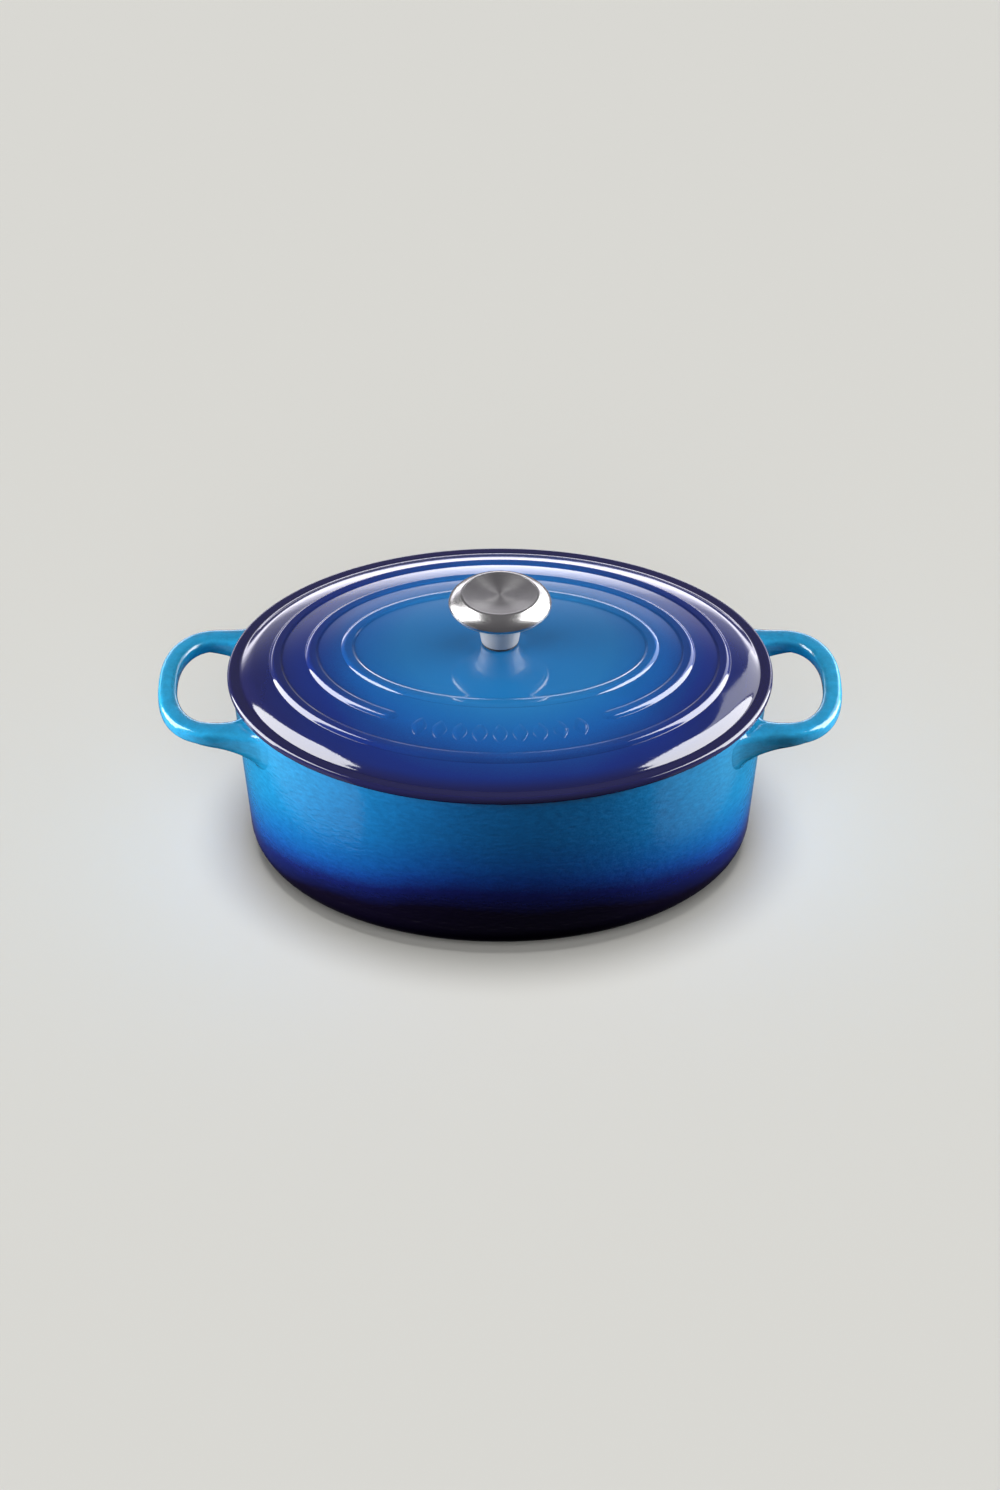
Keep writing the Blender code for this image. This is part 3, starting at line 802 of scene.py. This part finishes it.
# %% The handles cast no shade on the floor
no_shade = bpy.data.collections.new("no_floor_shade")
for number, piece in enumerate(handles):
    no_shade.objects.link(piece)
    no_shade.collection_objects[number].light_linking.link_state = "EXCLUDE"
for sun in floor_suns:
    sun.light_linking.blocker_collection = no_shade
print("no floor shade from", [piece.name for piece in handles])

# %% [markdown]
# ## The lid
#
# The lid is a shallow dome with a flat flange round it. Three oval bands stand about a millimetre proud, and
# the middle one stops short at the front, with round ends. All of it is one surface: the height is a function
# of the inset and the angle, and the rows are closest together where the surface turns fastest.

# %% Heights over the dome
FLANGE_Z = 0.1134
EDGE_RADIUS = 0.0019
LID_THICKNESS = 0.0037
DOME = np.array([
    (0.0062, FLANGE_Z, 0.00),
    (0.0072, 0.11368, 0.56),
    (0.009, 0.1148, 0.62),
    (0.014, 0.1173, 0.34),
    (0.026, 0.1206, 0.25),
    (0.046, 0.125, 0.18),
    (0.066, 0.1282, 0.06),
    (0.076, 0.1287, 0.04),
])
RING_INSETS = (0.0231, 0.0428, 0.0624)
RING_WIDTH = 0.0077
RING_MIDDLE = 0.0034  # from a band's outer foot to where its level top is measured
RING_RISES = (0.00130, 0.00110, 0.00080)
RING_ROLL = 0.0027  # width of the round outer side
RING_LIP = 0.0020  # width of the soft inner side
ROLL_POWER = 1.7
BREAK_RING = 1
BREAK_HALF_ANGLE = math.radians(35.3)
BREAK_END = 0.0036  # length over which a band's end closes


def dome_height(inset):
    """Cubic Hermite pieces through the dome's heights and slopes, flat beyond both ends."""
    inset = np.clip(inset, DOME[0, 0], DOME[-1, 0])
    k = np.clip(np.searchsorted(DOME[:, 0], inset, side="right") - 1, 0, len(DOME) - 2)
    start, end = DOME[k], DOME[k + 1]
    width = end[..., 0] - start[..., 0]
    t = (inset - start[..., 0]) / width
    rise = (3 * t**2 - 2 * t**3) * (end[..., 1] - start[..., 1])
    return start[..., 1] + rise + width * (t * (1 - t) ** 2 * start[..., 2] - t**2 * (1 - t) * end[..., 2])


def past_break(inset, angle):
    """How far along its oval a place lies inside the gap at the front, in metres, and zero outside it."""
    from_front = np.abs((angle + math.pi / 2 + math.pi) % math.tau - math.pi)
    pace = np.hypot((HALF_LENGTH - inset) * math.cos(BREAK_HALF_ANGLE),
                    (HALF_WIDTH - inset) * math.sin(BREAK_HALF_ANGLE))
    return np.maximum(0, BREAK_HALF_ANGLE - from_front) * pace


def band_lift(number, across):
    """Height of a band over the dome. Its top is level. Outwards it rolls down, and inwards it fades."""
    outer = RING_INSETS[number]
    top = dome_height(outer + RING_MIDDLE) + RING_RISES[number]
    foot = dome_height(np.array(outer))
    rolled = top - (top - foot) * np.clip(1 - across / RING_ROLL, 0, 1) ** ROLL_POWER
    share = 1 - smooth((across - RING_WIDTH + RING_LIP) / RING_LIP)
    inside = (across > 0) & (across < RING_WIDTH)
    return np.where(inside, (rolled - dome_height(outer + across)) * share, 0.0)


def lid_height(inset, angle):
    """The dome, with bands laid over it. A broken band is squeezed to an ellipse's end where it stops."""
    z = dome_height(inset) + 0 * angle
    for number, outer in enumerate(RING_INSETS):
        across = inset - outer + 0 * angle
        close = np.ones_like(across)
        if number == BREAK_RING:
            close = np.sqrt(np.clip(1 - (past_break(inset, angle) / BREAK_END) ** 2, 0.0001, 1))
        squeezed = RING_WIDTH / 2 + (across - RING_WIDTH / 2) / close
        z = z + band_lift(number, squeezed) * close
    return z


print("top of the dome", round(float(dome_height(0.0685)), 4))

# %% Rows for the lid's top
BOSS_Z = 0.1312
BOSS_SEAT_RADIUS = 0.0114
PANEL_RISE = 0.0024
HOLE_RADIUS = 0.0035
BRIM_DARK = (0.0050, 0.0140)  # insets between which the flange's dark coat fades out
ROW_MARGIN = 0.0003  # rows stand this far on either side of a band's foot and lip
SHOULDER_ROWS = (0.0145, 0.0050)  # insets between which rows are fine, over the dome's start
PANEL_EDGE = RING_INSETS[-1] + RING_WIDTH + ROW_MARGIN
LID_COLUMNS = 440
LID_BEND = 0.45


def dome_rows():
    """Insets from the panel out to the flange, in fine steps over each band and coarse ones between."""
    runs = []
    for number in (2, 1, 0):
        foot = RING_INSETS[number]
        lip = foot + RING_WIDTH
        top_steps = 12 if number == BREAK_RING else 3
        runs.append((lip + ROW_MARGIN, lip - RING_LIP - 0.0001, 11))
        runs.append((lip - RING_LIP - 0.0001, foot + RING_ROLL, top_steps))
        runs.append((foot + RING_ROLL, foot + ROW_MARGIN, 13))
        runs.append((foot + ROW_MARGIN, foot - ROW_MARGIN, 3))
        after = RING_INSETS[number - 1] + RING_WIDTH + ROW_MARGIN if number else SHOULDER_ROWS[0]
        runs.append((foot - ROW_MARGIN, after, 7))
    runs.append((*SHOULDER_ROWS, 26))
    runs.append((SHOULDER_ROWS[1], EDGE_RADIUS, 3))
    return np.concatenate([start + (end - start) * np.arange(steps) / steps for start, end, steps in runs])


def lid_top():
    """Half-axes and heights from the knob's hole to the flange. The panel turns from round to oval."""
    seat = np.concatenate([
        line((HOLE_RADIUS, BOSS_Z - 0.0003), (HOLE_RADIUS + 0.0003, BOSS_Z), 2),
        line((HOLE_RADIUS + 0.0003, BOSS_Z), (BOSS_SEAT_RADIUS, BOSS_Z), 4),
    ])
    share = np.linspace(0, 1, 26)[:-1]
    panel_z = float(dome_height(PANEL_EDGE)) + PANEL_RISE * (1 - share**2)
    foot = np.clip(share / 0.06, 0, 1)
    panel_z = panel_z + (BOSS_Z - panel_z) * (1 - smooth(foot))
    panel_x, panel_y = (BOSS_SEAT_RADIUS + (half - PANEL_EDGE - BOSS_SEAT_RADIUS) * share
                        for half in (HALF_LENGTH, HALF_WIDTH))
    insets = dome_rows()
    angle = round_angles(LID_COLUMNS)
    rise = lid_height(insets[:, None], angle[None, :])
    half_x = np.concatenate([seat[:, 0], panel_x, HALF_LENGTH - insets])
    half_y = np.concatenate([seat[:, 0], panel_y, HALF_WIDTH - insets])
    inner_z = np.concatenate([seat[:, 1], panel_z])[:, None] + np.zeros(LID_COLUMNS)
    return half_x, half_y, np.concatenate([inner_z, rise])


print("rows over the dome", len(dome_rows()))

# %% Underside and the whole lid
SKIRT_DEPTH = 0.0048
SKIRT_CLEARANCE = 0.0012
SKIRT_WIDTH = 0.0027
UNDER_BOSS_Z = 0.1234
UNDER_BOSS_RADIUS = 0.0105
GAP = 0.0003
SKIRT_TAPER = 0.0005
SKIRT_ROUND = 0.0006


def lid_under():
    """Half-axes and heights of the rounded brim, the land, the skirt and the hollow."""
    land = RIM_Z + GAP
    skirt = wall_inset(RIM_Z) + WALL + SKIRT_CLEARANCE
    low = RIM_Z - SKIRT_DEPTH
    inner = skirt + SKIRT_WIDTH
    low_edge = low + SKIRT_ROUND
    under = EDGE_RADIUS * 0.6
    brim = arc((EDGE_RADIUS, FLANGE_Z - EDGE_RADIUS), EDGE_RADIUS, 90, 180, 10)
    turn = arc((under, land + under), under, 180, 270, 6)
    first = skirt + SKIRT_TAPER + SKIRT_ROUND
    profile = np.concatenate([
        brim, turn,
        line((under, land), (skirt, land), 3),
        line((skirt, land), (skirt + SKIRT_TAPER, low_edge), 4),
        arc((first, low_edge), SKIRT_ROUND, 180, 270, 3),
        line((first, low), (inner - SKIRT_ROUND, low), 2),
        arc((inner - SKIRT_ROUND, low_edge), SKIRT_ROUND, 270, 360, 3),
        line((inner, low_edge), (inner + 0.0012, land + 0.0010), 4),
    ])
    hollow = np.linspace(0.0155, 0.0750, 24)
    hollow = np.stack([hollow, dome_height(hollow) - LID_THICKNESS], axis=1)
    profile = np.concatenate([profile, hollow])
    plain = DOME[-1, 1] - LID_THICKNESS
    boss = np.array([(UNDER_BOSS_RADIUS + 0.0015, plain), (UNDER_BOSS_RADIUS + 0.0006, plain - 0.0003),
                     (UNDER_BOSS_RADIUS, UNDER_BOSS_Z), (HOLE_RADIUS, UNDER_BOSS_Z)])
    half_x = np.concatenate([HALF_LENGTH - profile[:, 0], boss[:, 0]])
    half_y = np.concatenate([HALF_WIDTH - profile[:, 0], boss[:, 0]])
    z = np.concatenate([profile[:, 1], boss[:, 1]])
    glazed = len(brim) + len(turn)
    return half_x, half_y, z[:, None] + np.zeros(LID_COLUMNS), glazed


def make_lid():
    """One closed skin through the hole. Its bend is read along two lines, at the back and at the break."""
    top_x, top_y, top_z = lid_top()
    low_x, low_y, low_z, glazed = lid_under()
    half_x = np.concatenate([top_x, low_x])
    half_y = np.concatenate([top_y, low_y])
    z = np.concatenate([top_z, low_z])
    finish = np.concatenate([np.zeros(len(top_x) + glazed, int), np.ones(len(low_x) - glazed, int)])
    bend, broken = (bend_of(np.stack([half_y, z[:, quarter * LID_COLUMNS // 4]], axis=1), LID_BEND)
                    for quarter in (1, 3))
    angle = round_angles(LID_COLUMNS)
    whole = past_break(0.046, angle)[None, :] < 0.001
    points = oval_points(half_x, half_y, z, LID_COLUMNS)
    inset = HALF_WIDTH - half_y
    brim = 1 - smooth((inset - BRIM_DARK[0]) / (BRIM_DARK[1] - BRIM_DARK[0]))
    values = {"bend": np.where(whole, bend[:, None], broken[:, None]), "brim": brim[:, None]}
    return mesh_from("lid_shell", points, [lid_glaze, sand_glaze], True, finish, values)


lid_shell = make_lid()

# %% [markdown]
# ## The row of beads
#
# In the gap of the middle band stands a row of small raised lozenges, a plain cast ornament: rings of a
# superellipse that shrink towards the middle while the height rises, laid on the dome.

# %% Beads
BEAD_COUNT = 9
BEAD_SPACING = 0.0108
BEAD_HALF = (0.0040, 0.0062)
BEAD_RISE = 0.00045
BEAD_COLUMNS = 36
BEAD_POWER = 1.35
BEAD_FOOT = 0.6  # how deep the last row lies, as a share of the rise
BEAD_SHIFT = 0.003  # outwards from the middle of the band


def inset_at(x, y):
    """The inset of the oval through a place, by halving the range again and again."""
    low, high = np.zeros_like(x), np.full_like(x, HALF_WIDTH - 0.001)
    for _ in range(30):
        middle = (low + high) / 2
        outside = (x / (HALF_LENGTH - middle)) ** 2 + (y / (HALF_WIDTH - middle)) ** 2 > 1
        low, high = np.where(outside, low, middle), np.where(outside, middle, high)
    return (low + high) / 2


def bead(centre_x, centre_y, tilt):
    """Points of one bead: rows go from its top out to its foot, and a last row lies under the glaze."""
    share = np.concatenate([np.linspace(0.1, 1.0, 14), [1.06]])
    height = np.where(share <= 1, 1 - smooth((share - 0.35) / 0.65) ** 1.3, -BEAD_FOOT)
    angle = round_angles(BEAD_COLUMNS)
    u = signed_power(np.cos(angle), BEAD_POWER) * BEAD_HALF[0] * share[:, None]
    v = signed_power(np.sin(angle), BEAD_POWER) * BEAD_HALF[1] * share[:, None]
    x = centre_x + u * math.cos(tilt) - v * math.sin(tilt)
    y = centre_y + u * math.sin(tilt) + v * math.cos(tilt)
    z = dome_height(inset_at(x, y)) + BEAD_RISE * height[:, None]
    return np.stack([x, y, z], axis=-1)


def make_beads():
    """The beads follow the oval of the band they fill, each turned to face out from it."""
    made = []
    for k in range(BEAD_COUNT):
        x = (k - (BEAD_COUNT - 1) / 2) * BEAD_SPACING
        inset = RING_INSETS[BREAK_RING] + RING_WIDTH / 2 - BEAD_SHIFT
        y = -(HALF_WIDTH - inset) * math.sqrt(1 - (x / (HALF_LENGTH - inset)) ** 2)
        turn = math.atan2(-y / (HALF_WIDTH - inset) ** 2, x / (HALF_LENGTH - inset) ** 2) - math.pi / 2
        points = bead(x, y, -turn)
        made.append(mesh_from(f"lid_bead_{k + 1}", points, [lid_glaze], values={"bend": np.zeros((1, 1))}))
    return made


beads = make_beads()
print(len(beads), "beads")

# %% [markdown]
# ## The knob
#
# The knob is two pressed steel shells, turned on a lathe and brushed while they spin. A profile of radius and
# height swept round the axis gives both. The brushing leaves fine rings that stretch every reflection: the
# shader's anisotropy does that, and a bump of fine rings adds the visible lines.

# %% Turned steel
LEVEL_FACE = (0.0195, 0.0215)  # radii between which the stretched gloss of the level face fades out
STRETCH = (0.9, 0.1)
SATIN_FADE = 0.002
SATIN_ROUGHER = 0.20
SATIN_METAL = -0.45
RING_DEPTH = 0.000004
KNOB_COLUMNS = 160


def make_turned_steel(name, rough, rings, tint, waist):
    """Rings are noise along the radius alone, and roughness follows them. Gloss stretches on the level face.

    Below the waist, a height, the finish is a duller satin.
    """
    material, tree, shader, place = start_material(name, 0.3)
    circle = node(tree, "ShaderNodeTangent", direction_type="RADIAL", axis="Z").outputs[0]
    tree.links.new(circle, shader.inputs["Tangent"])
    split = node(tree, "ShaderNodeSeparateXYZ", {0: place}).outputs
    radius = level_distance(tree, place)
    along = node(tree, "ShaderNodeCombineXYZ", {0: radius, 2: split["Z"]}).outputs[0]
    lines = noise(tree, along, rings, 3.0)
    colour = colour_ramp(tree, lines, [(0.35, tuple(0.93 * c for c in tint)), (0.65, tint)])
    tree.links.new(colour, shader.inputs["Base Color"])
    tree.links.new(span(tree, radius, *LEVEL_FACE, *STRETCH), shader.inputs["Anisotropic"])
    satin = span(tree, split["Z"], waist - SATIN_FADE, waist, 1.0, 0.0)
    polish = span(tree, lines, 0.3, 0.7, *rough)
    tree.links.new(maths(tree, "MULTIPLY_ADD", satin, SATIN_ROUGHER, polish), shader.inputs["Roughness"])
    tree.links.new(maths(tree, "MULTIPLY_ADD", satin, SATIN_METAL, 1.0), shader.inputs["Metallic"])
    add_bump(tree, shader, lines, RING_DEPTH)
    return material


knob_steel = make_turned_steel("turned_steel", (0.22, 0.25), 2600.0, (0.47, 0.465, 0.46), knob_low[2] + 0.001)
plated_steel = make_turned_steel("plated_steel", (0.28, 0.42), 1800.0, (0.56, 0.56, 0.57), 0.0)


def through(points, steps):
    """A smooth curve through points by Catmull and Rom's rule."""
    points = np.asarray(points, float)
    padded = np.concatenate([points[:1], points, points[-1:]])
    t = (np.arange(steps) / steps)[None, :, None]
    a, b, c, d = (padded[k:len(points) - 1 + k, None, :] for k in range(4))
    curve = 0.5 * (2 * b + (c - a) * t + (2 * a - 5 * b + 4 * c - d) * t**2 + (3 * b - a - 3 * c + d) * t**3)
    return np.concatenate([curve.reshape(-1, 2), points[-1:]])


def turned(name, profile, finish, closed):
    """A profile of (radius, height) swept round the axis in even steps."""
    profile = np.asarray(profile)
    points = oval_points(profile[:, 0], profile[:, 0], profile[:, 1:], KNOB_COLUMNS)
    return mesh_from(name, points, [finish], wrap_rows=closed)


# %% Knob shells
SHEET = 0.0012


def make_knob_cap():
    """A dished face, a crisp shoulder, a sloping band, and a lip rolled in under the widest line."""
    top = knob_high[2]
    dish = through([(0.0006, top - 0.0009), (0.0110, top - 0.0007), (0.0190, top - 0.00015), (0.0201, top)], 8)
    band = through([(0.0207, top), (0.0218, top - 0.0004), (0.0251, top - 0.0023), (0.0273, top - 0.0044),
                    (0.0280, top - 0.0064), (0.0277, top - 0.0077), (0.0270, top - 0.0086)], 8)
    inside = through([(0.0264, top - 0.0086), (0.0266, top - 0.0066), (0.0258, top - 0.0050),
                      (0.0238, top - 0.0031), (0.0200, top - SHEET), (0.0006, top - 0.0009 - SHEET)], 4)
    return turned("knob_cap_shell", np.concatenate([dish, band, inside]), knob_steel, closed=False)


def make_knob_body():
    """A flat foot, a tapered neck with a fine step, and the dish that closes the cap from below."""
    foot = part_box("knob_body")[0][2]
    outside = np.concatenate([
        line((HOLE_RADIUS, foot), (0.0097, foot), 3),
        arc((0.0097, foot + 0.0006), 0.0006, 270, 350, 5),
        line((0.01030, foot + 0.0007), (0.01205, foot + 0.0112), 8),
        through([(0.01205, foot + 0.0112), (0.01225, foot + 0.0115), (0.01245, foot + 0.0125),
                 (0.0140, foot + 0.0157), (0.0185, foot + 0.0190), (0.0259, foot + 0.0218)], 6),
    ])
    inside = np.array([(0.0259, foot + 0.0231), (0.0180, foot + 0.0203), (0.0131, foot + 0.0168),
                       (0.0110, foot + 0.0125), (0.0091, foot + SHEET), (HOLE_RADIUS, foot + SHEET)])
    return turned("knob_body_shell", np.concatenate([outside, inside]), knob_steel, closed=True)


knob_cap = make_knob_cap()
knob_body = make_knob_body()

# %% [markdown]
# ## Small fixings
#
# The bush, the screw and the two washers keep their modelled shapes and take a plated finish. The gasket
# between the knob and the lid is dark matt silicone.

# %% Finishes for the pieces that keep their shape
def make_silicone():
    """Dark rubber with a fine mottled grain."""
    material, tree, shader, place = start_material("dark_silicone", 0.6)
    speck = noise(tree, place, 900.0, 3.0)
    colour = colour_ramp(tree, speck, [(0.3, (0.020, 0.020, 0.023)), (0.7, (0.034, 0.034, 0.038))])
    tree.links.new(colour, shader.inputs["Base Color"])
    add_bump(tree, shader, speck, 0.00003, 0.6)
    return material


silicone = make_silicone()
FIXINGS = {"knob_insert": plated_steel, "flat_washer": plated_steel, "lock_washer": plated_steel,
           "knob_screw": plated_steel, "knob_gasket": silicone}
for name, finish in FIXINGS.items():
    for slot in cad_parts[name].material_slots:
        slot.material = finish
print("fixings", list(FIXINGS))

# %% [markdown]
# ## Tie the new pieces to what they move with
#
# The new bowl and its handles join the pot's body, and the new lid, its beads and the knob shells join the
# lid's, so the lid can lift straight off.

# %% Bodies and replacements
for piece in (pot_shell, *handles):
    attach(piece, "pot")
    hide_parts("pot")
for piece in (lid_shell, *beads):
    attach(piece, "lid")
    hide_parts("lid")
for piece, name in ((knob_cap, "knob_cap"), (knob_body, "knob_body")):
    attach(piece, "lid")
    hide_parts(name)
